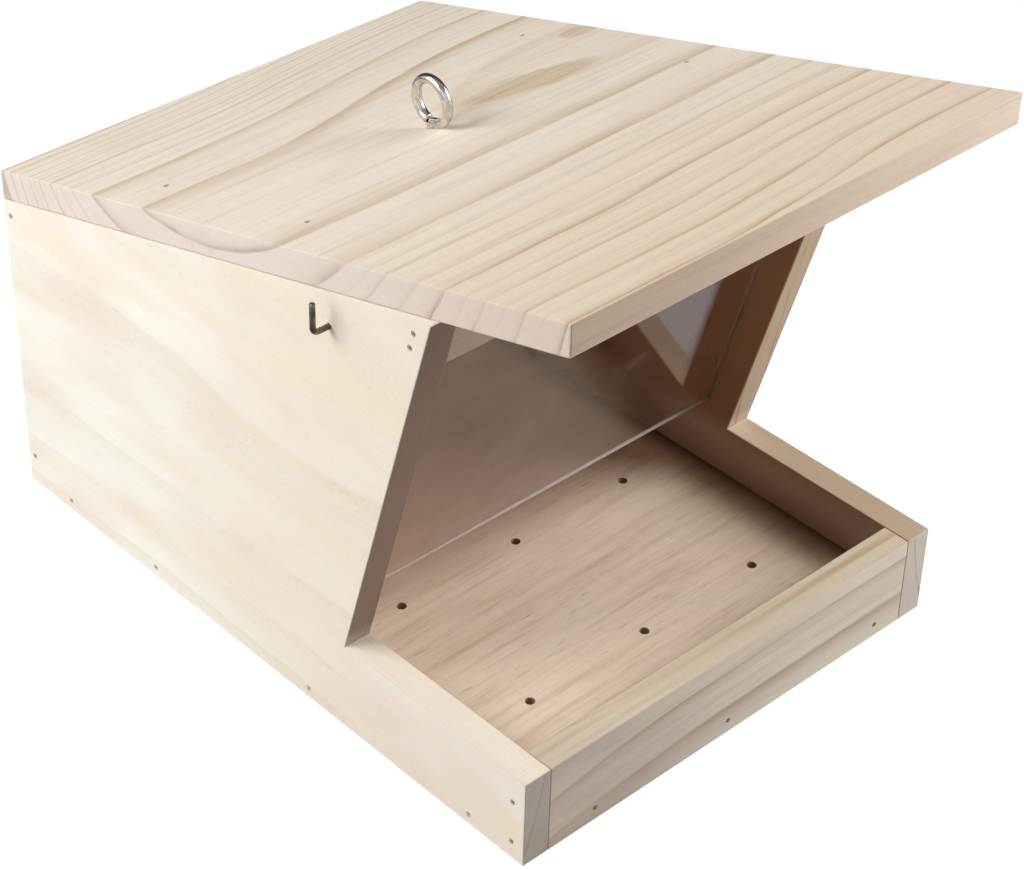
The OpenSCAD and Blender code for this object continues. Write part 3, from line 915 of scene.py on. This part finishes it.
def made_by(tree, inputs, carrier, sizes, name):
    """Runs a geometry tree on the carrier's mesh, and keeps the result as a plain mesh."""
    modifier = carrier.modifiers.new("Maker", "NODES")
    modifier.node_group = tree
    for size, value in sizes.items():
        modifier[inputs[size]] = value
    bpy.context.view_layer.update()
    graph = bpy.context.evaluated_depsgraph_get()
    mesh = bpy.data.meshes.new_from_object(carrier.evaluated_get(graph), depsgraph=graph)
    carrier.modifiers.remove(modifier)
    bpy.data.objects.remove(carrier)
    mesh.name = name
    piece = bpy.data.objects.new(name, mesh)
    scene.collection.objects.link(piece)
    print(name, "has", len(mesh.polygons), "faces and", len(mesh.vertices), "points")
    return piece


def path_carrier(points, thins):
    """A chain of points in millimetres, each with how thin the wire is there."""
    mesh = bpy.data.meshes.new("wire_path")
    links = [(row, row + 1) for row in range(len(points) - 1)]
    mesh.from_pydata([Vector(point) * MM for point in points], links, [])
    values = mesh.attributes.new("thin", "FLOAT", "POINT").data
    for value, thin_here in zip(values, thins):
        value.value = thin_here
    carrier = bpy.data.objects.new("wire_path", mesh)
    scene.collection.objects.link(carrier)
    return carrier


# %% [markdown]
# ## The screw eye
# The eye's wire comes up out of the roof, makes one tight bend towards the front, runs round the ring
# and stops short of its own shank at the back. Its free end is cut square with the burr taken off.

# %% Sizes of the eye
eye_x, eye_y = -2.5, 17.5
eye_wire = 1.45
ring_r = 6.35
eye_z = roof_top(eye_y) + 0.5 + eye_wire + ring_r
eye_bend = 1.7
eye_in_roof = 8.0
eye_point = 1.2
thread_core, whole_wire, square_end, sharp_point = 0.88, 1.0, 0.8, 0.05
bend_steps, ring_steps = 8, 72
ring_gap = math.radians(13)
burr = 0.22
print("The ring's middle is at z", round(eye_z, 2))

# %% Bend the eye
bend_share = eye_bend / (ring_r + eye_bend)
leave = math.asin(bend_share)
ring_foot = eye_z - ring_r * math.cos(leave)
bend_start = ring_foot - eye_bend * math.cos(leave)


def on_ring(angle):
    """A point of the ring, by its angle from the lowest point towards the front."""
    return (eye_x, eye_y - ring_r * math.sin(angle), eye_z - ring_r * math.cos(angle))


eye_path = [
    (eye_x, eye_y, roof_top(eye_y) - depth)
    for depth in (eye_in_roof, eye_in_roof - eye_point, 4.0, 0.0, -0.05)
]
eye_thin = [sharp_point, thread_core, thread_core, thread_core, whole_wire]
for step in range(bend_steps + 1):
    angle = (math.pi / 2 - leave) * step / bend_steps
    eye_path.append((
        eye_x, eye_y - eye_bend * (1 - math.cos(angle)), bend_start + eye_bend * math.sin(angle)))
    eye_thin.append(whole_wire)
round_to = 2 * math.pi - ring_gap
for step in range(1, ring_steps + 1):
    eye_path.append(on_ring(leave + (round_to - leave) * step / ring_steps))
    eye_thin.append(whole_wire)
eye_path.append(on_ring(round_to + burr / ring_r))
eye_thin.append(square_end)

eye = made_by(wire_tree, wire_inputs, path_carrier(eye_path, eye_thin), {
    "Wire radius": eye_wire * MM, "Thread pitch": 1.2 * MM, "Thread length": 6.4 * MM, "Ridge": 0.36 * MM,
    "Thread start": Vector((eye_x, eye_y, roof_top(eye_y) - 6.6)) * MM, "Thread turn": (0.0, 0.0, 0.0),
    "Finish": nickel,
}, "screw_eye_bent")
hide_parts("screw_eye")
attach(eye, "roof")

# %% [markdown]
# ## The two square-bend hooks
# Each hook goes in through a side board, and its arm stands up outside as a handle to turn it by. Both
# are shown backed out, so that the roof can come off. The right one is the mirror of the left one.

# %% Bend the hooks
hook_y, hook_z = -30.599, 131.403
hook_wire = 0.8
hook_out = 5.2
hook_bend = 1.8
hook_arm = 9.0
hook_in_wood = side_t
hook_steps = 10
hook_core, hook_end = 0.8, 0.78


def bent_hook(side, name, node, body):
    """One hook, from the top of its arm to its point. Side is -1 for the left one and 1 for the right."""
    face_x = side * body_w / 2
    arm_x = face_x + side * hook_out
    tip_x = face_x - side * hook_in_wood
    points = [(arm_x, hook_y, hook_z + hook_arm), (arm_x, hook_y, hook_z + hook_arm - 0.2)]
    thins = [hook_end, whole_wire]
    for step in range(hook_steps + 1):
        angle = math.pi / 2 * step / hook_steps
        inward = hook_bend * (1 - math.cos(angle))
        upward = hook_bend * (1 - math.sin(angle))
        points.append((arm_x - side * inward, hook_y, hook_z + upward))
        thins.append(whole_wire)
    for x, thin_here in (
        (face_x + side * 0.1, whole_wire), (face_x - side * 0.15, hook_core),
        (tip_x + side * 1.6, hook_core), (tip_x, sharp_point),
    ):
        points.append((x, hook_y, hook_z))
        thins.append(thin_here)
    hook = made_by(wire_tree, wire_inputs, path_carrier(points, thins), {
        "Wire radius": hook_wire * MM, "Thread pitch": 1.0 * MM,
        "Thread length": (hook_in_wood - 2.2) * MM, "Ridge": 0.34 * MM,
        "Thread start": Vector((face_x - side * 0.3, hook_y, hook_z)) * MM,
        "Thread turn": (0.0, -side * math.pi / 2, 0.0), "Finish": zinc,
    }, name)
    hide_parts(node)
    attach(hook, body)


bent_hook(-1, "hook_left_bent", "hook_left", "hook_left")
bent_hook(1, "hook_right_bent", "hook_right", "hook_right")

# %% [markdown]
# ## The brads
# Brads are thin headed nails, driven just below the surface, where crushed fibres close in round the
# head and leave a spot that is smaller than it. All of them are one shape, set down many times, which is
# what Geometry Nodes do best: the tree builds one brad from its sizes and puts a copy at each place,
# turned the way it was driven. The fibres have closed further over some of them, so each place also says
# how much of the head still shows. One mesh rides with the box and one with the roof.

# %% Crushed fibres round the heads
crushed, bench, packing_shader = new_finish("crushed_pine_fibres")
tufts = bench.noise(bench.place_in_mm(), (0.3, 0.3, 0.3), 2.0, 0.6)
packing_tone = bench.blend(bench.ease(tufts, 0.35, 0.65), colour(216, 200, 178), colour(182, 162, 138))
bench.feed(packing_shader.inputs["Base Color"], packing_tone)
bench.feed(packing_shader.inputs["Roughness"], bench.ease(tufts, 0.3, 0.7, 0.7, 0.9))
bench.feed(packing_shader.inputs["Normal"], bench.node("ShaderNodeBump", 0.3, 0.08 * MM, None, tufts))
print("Packing:", crushed.name)

# %% One brad, and a copy at each place
head_sides, shank_sides, crown_rings = 18, 12, 8
crown_flatness = 0.2
brad_tree = bpy.data.node_groups.new("Driven brads", "GeometryNodeTree")
brad_inputs = {
    name: new_socket(brad_tree, name, kind)
    for name, kind in (
        ("Places", "Geometry"), ("Head radius", "Float"), ("Head thickness", "Float"),
        ("Shank radius", "Float"), ("Length", "Float"), ("Point", "Float"), ("Sink", "Float"),
        ("Finish", "Material"), ("Crown radius", "Float"), ("Packing depth", "Float"),
        ("Packing", "Material"))
}
new_socket(brad_tree, "Brads", "Geometry", "OUTPUT")
bench = Bench(brad_tree)
given = brad_tree.nodes.new("NodeGroupInput").outputs
parts = []


def lowered(shape, depth):
    """Puts a shape at a depth below the surface of the wood."""
    down = bench.node("ShaderNodeCombineXYZ", 0.0, 0.0, bench.times(depth, -1.0))
    return bench.node("GeometryNodeTransform", shape, down)


def round_bar(sides, radius, length):
    return bench.node("GeometryNodeMeshCylinder", sides, 1, 1, radius, length)


head = round_bar(head_sides, given["Head radius"], given["Head thickness"])
parts.append(lowered(head, bench.sum(given["Sink"], bench.times(given["Head thickness"], 0.5))))
packing = round_bar(head_sides, given["Head radius"], given["Packing depth"])
packing = bench.node(
    "GeometryNodeStoreNamedAttribute", packing, True, "packed", True, data_type="BOOLEAN", domain="FACE")
parts.append(lowered(packing, bench.times(given["Packing depth"], 1.5)))
shank_length = bench.less(bench.less(given["Length"], given["Point"]), given["Sink"])
shank = round_bar(shank_sides, given["Shank radius"], shank_length)
parts.append(lowered(shank, bench.sum(given["Sink"], bench.times(shank_length, 0.5))))
tip = bench.node("GeometryNodeMeshCone", shank_sides, 1, 1, given["Shank radius"], 0.0, given["Point"])
parts.append(lowered(tip, given["Length"]))
joined = brad_tree.nodes.new("GeometryNodeJoinGeometry")
for part in parts:
    brad_tree.links.new(part, joined.inputs[0])
driven = bench.node("GeometryNodeInputNamedAttribute", "driven", data_type="FLOAT_VECTOR")
turn = bench.node("FunctionNodeAlignRotationToVector", None, 1.0, driven, axis="Z")
brads = bench.node("GeometryNodeInstanceOnPoints", given["Places"], True, joined.outputs[0])
bench.feed(brads.node.inputs["Rotation"], turn)

crown = bench.node("GeometryNodeMeshUVSphere", head_sides, crown_rings, given["Crown radius"])
crown = bench.node("GeometryNodeTransform", crown, None, None, (1.0, 1.0, crown_flatness))
crown = lowered(crown, bench.sum(given["Packing depth"], bench.times(given["Crown radius"], 0.04)))
showing = bench.node("GeometryNodeInputNamedAttribute", "showing", data_type="FLOAT")
crowns = bench.node("GeometryNodeInstanceOnPoints", given["Places"], True, crown)
bench.feed(crowns.node.inputs["Rotation"], turn)
bench.feed(crowns.node.inputs["Scale"], bench.node("ShaderNodeCombineXYZ", showing, showing, 1.0))
set_down = brad_tree.nodes.new("GeometryNodeJoinGeometry")
for group in (brads, crowns):
    brad_tree.links.new(group, set_down.inputs[0])
whole = bench.node("GeometryNodeRealizeInstances", set_down.outputs[0])
steel_brads = bench.node("GeometryNodeSetMaterial", whole, True, given["Finish"])
packed = bench.node("GeometryNodeInputNamedAttribute", "packed", data_type="BOOLEAN")
packed_brads = bench.node("GeometryNodeSetMaterial", steel_brads, packed, given["Packing"])
bench.feed(brad_tree.nodes.new("NodeGroupOutput").inputs[0], packed_brads)
print("Brad tree nodes:", len(brad_tree.nodes))

# %% Where the brads are driven


def slant_point(up, behind):
    """A point in the plane of the side boards, up the slanted edge and behind it."""
    return (
        notch_y - up * math.sin(side_slant) + behind * math.cos(side_slant),
        tray_h + up * math.cos(side_slant) + behind * math.sin(side_slant))


corner_places = [(front_y + 4.5, 6.0), (front_y + 4.5, tray_h - 9.0)]
foot_places = [(y, 3.5) for y in (front_y + 21.0, front_y + 87.0, back_y - 63.0, back_y - 21.0)]
back_places = [(back_y - 3.0, z) for z in (10.0, back_h - 4.3)]
rail_places = [slant_point(edge_len - nib_len + up, 4.5) for up in (6.5, 6.5 + 4.9)]
box_brads = [
    ((side * body_w / 2, y, z), (side, 0, 0), shows)
    for side in (-1, 1)
    for places, shows in (
        (corner_places, 0.85), (foot_places, 0.5), (back_places, 0.7), (rail_places, 1.0))
    for y, z in places
]
box_brads += [((x, front_y, 4.4), (0, -1, 0), 1.15) for x in (-53.0, -2.0, 59.0)]

cleat_x = 65.0
cleat_front_y = hook_y - 10.0
cleat_back_y = back_y - back_t - 20.0
cleat_middle = (cleat_front_y + cleat_back_y) / 2
roof_brads = [
    ((side * cleat_x, cleat_middle + behind, roof_top(cleat_middle + behind)), roof_out, 0.55)
    for side, both in ((-1, (-28.0, 32.0)), (1, (-35.0, 31.0))) for behind in both
]
print("Brads in the box:", len(box_brads), "and in the roof:", len(roof_brads))

# %% Drive them


def drive(brads, name, nodes, body):
    """Drives brads, each given by its place, the way that its head faces and how much of it shows."""
    places, ways, shares = zip(*brads)
    mesh = bpy.data.meshes.new("brad_places")
    mesh.from_pydata([Vector(place) * MM for place in places], [], [])
    mesh.attributes.new("driven", "FLOAT_VECTOR", "POINT")
    mesh.attributes.new("showing", "FLOAT", "POINT")
    for row, (way, share) in enumerate(zip(ways, shares)):
        mesh.attributes["driven"].data[row].vector = way
        mesh.attributes["showing"].data[row].value = share
    carrier = bpy.data.objects.new("brad_places", mesh)
    scene.collection.objects.link(carrier)
    piece = made_by(brad_tree, brad_inputs, carrier, {
        "Head radius": 0.9 * MM, "Head thickness": 0.7 * MM, "Shank radius": 0.55 * MM,
        "Length": 18.0 * MM, "Point": 1.6 * MM, "Sink": 0.38 * MM, "Finish": steel,
        "Crown radius": 0.62 * MM, "Packing depth": 0.12 * MM, "Packing": crushed,
    }, name)
    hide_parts(*nodes)
    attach(piece, body)


drive(box_brads, "box_brads",
      ("corner_brads", "floor_side_brads", "floor_front_brads", "back_brads", "rail_brads"), "housing")
drive(roof_brads, "roof_brads_driven", ("roof_brads",), "roof")

# %% [markdown]
# ## Studio
# The feeder was photographed on white. The floor is pale and catches a faint shadow. To the camera, and
# through the pane, floor and room look white at a strength of one, and no lamp is turned up for that.
# In the shiny wire and on the pane's face they show as a studio does: a dimmer floor, pale walls, a dark
# ceiling, and a dark wall behind the feeder on its right. A large soft lamp stands behind it on its
# left, and one in front on its right.

# %% How a ray sees the studio


def ways_of_seeing(bench):
    """Whether a ray comes straight or through the pane, and whether it is mirrored by something shiny."""
    ray = bench.tree.nodes.new("ShaderNodeLightPath").outputs
    looked_at = bench.larger(ray["Is Camera Ray"], ray["Is Transmission Ray"])
    mirrored = bench.larger(bench.less(ray["Is Glossy Ray"], ray["Is Transmission Ray"]), 0.0)
    return looked_at, mirrored


# %% Floor
floor_half = 4
floor_z = -0.0003
corners = [(x * floor_half, y * floor_half, floor_z) for x, y in ((-1, -1), (1, -1), (1, 1), (-1, 1))]
floor_mesh = bpy.data.meshes.new("studio_floor")
floor_mesh.from_pydata(corners, [], [(0, 1, 2, 3)])
studio_floor = bpy.data.objects.new("studio_floor", floor_mesh)
scene.collection.objects.link(studio_floor)
studio_floor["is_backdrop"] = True

paper, bench, plain = new_finish("white_paper")
plain.inputs["Base Color"].default_value = (0.82, 0.82, 0.82, 1)
plain.inputs["Roughness"].default_value = 0.9
looked_at, mirrored = ways_of_seeing(bench)
shade = bench.node("ShaderNodeBsdfDiffuse", (0.2, 0.2, 0.2, 1))
glow = bench.node("ShaderNodeEmission", (1, 1, 1, 1), 0.88)
white = bench.node("ShaderNodeAddShader", shade, glow)
seen = bench.node("ShaderNodeMixShader", looked_at, plain.outputs[0], white)
dim = bench.node("ShaderNodeEmission", (0.33, 0.32, 0.345, 1), 1.0)
seen = bench.node("ShaderNodeMixShader", mirrored, seen, dim)
bench.feed(paper.node_tree.nodes["Material Output"].inputs["Surface"], seen)
floor_mesh.materials.append(paper)
print("The floor is", 2 * floor_half, "m wide, just under the feeder")

# %% Room
world = bpy.data.worlds.new("Studio")
scene.world = world
world.use_nodes = True
bench = Bench(world.node_tree)
looked_at, mirrored = ways_of_seeing(bench)
room_light = bench.node("ShaderNodeBackground", (1.0, 0.98, 0.96, 1), 0.03)
room_white = bench.node("ShaderNodeBackground", (1, 1, 1, 1), 1.0)
room = bench.node("ShaderNodeMixShader", looked_at, room_light, room_white)
to_dark_wall = bench.measure(bench.node("ShaderNodeTexCoord"), (0.70, 0.70, 0.14))
up = bench.measure(bench.node("ShaderNodeTexCoord"), (0, 0, 1))
dark_parts = bench.larger(bench.ease(to_dark_wall, 0.25, 0.6), bench.ease(up, 0.55, 0.85, 0.0, 0.7))
wall_tone = bench.blend(dark_parts, (0.82, 0.83, 0.85, 1), (0.07, 0.065, 0.065, 1))
walls = bench.node("ShaderNodeBackground", wall_tone, 1.0)
room = bench.node("ShaderNodeMixShader", mirrored, room, walls)
bench.feed(world.node_tree.nodes["World Output"].inputs["Surface"], room)
scene.view_settings.view_transform = "Standard"
print("View transform:", scene.view_settings.view_transform)

# %% The two soft lamps
lamp_tint = (1.0, 0.995, 0.98)


def soft_lamp(name, place, aim, size, watts):
    """A square soft box, turned towards the point that it is aimed at."""
    data = bpy.data.lights.new(name, "AREA")
    data.shape = "RECTANGLE"
    data.size = size
    data.size_y = size
    data.energy = watts
    data.color = lamp_tint
    lamp = bpy.data.objects.new(name, data)
    scene.collection.objects.link(lamp)
    lamp.location = place
    lamp.rotation_mode = "QUATERNION"
    lamp.rotation_quaternion = (Vector(aim) - Vector(place)).to_track_quat("-Z", "Y")
    print(name, "at", place, "with", watts, "W")


soft_lamp("key_lamp", (-0.735, 0.427, 0.598), (0, 0, 0.08), 0.77, 11.5)
soft_lamp("fill_lamp", (0.61, -0.47, 0.50), (0, -0.03, 0.05), 0.5, 7.2)

# %% [markdown]
# ## The two boxes
# The box of the dressed feeder and the box of the built one are both printed. The dressed feeder has
# to stay inside the box of the built one.

# %% Sizes and finish
dressed_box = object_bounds()
for title, box in (("CAD box", cad_box), ("Dressed box", dressed_box)):
    print(title, [tuple(round(value, 4) for value in corner) for corner in box])
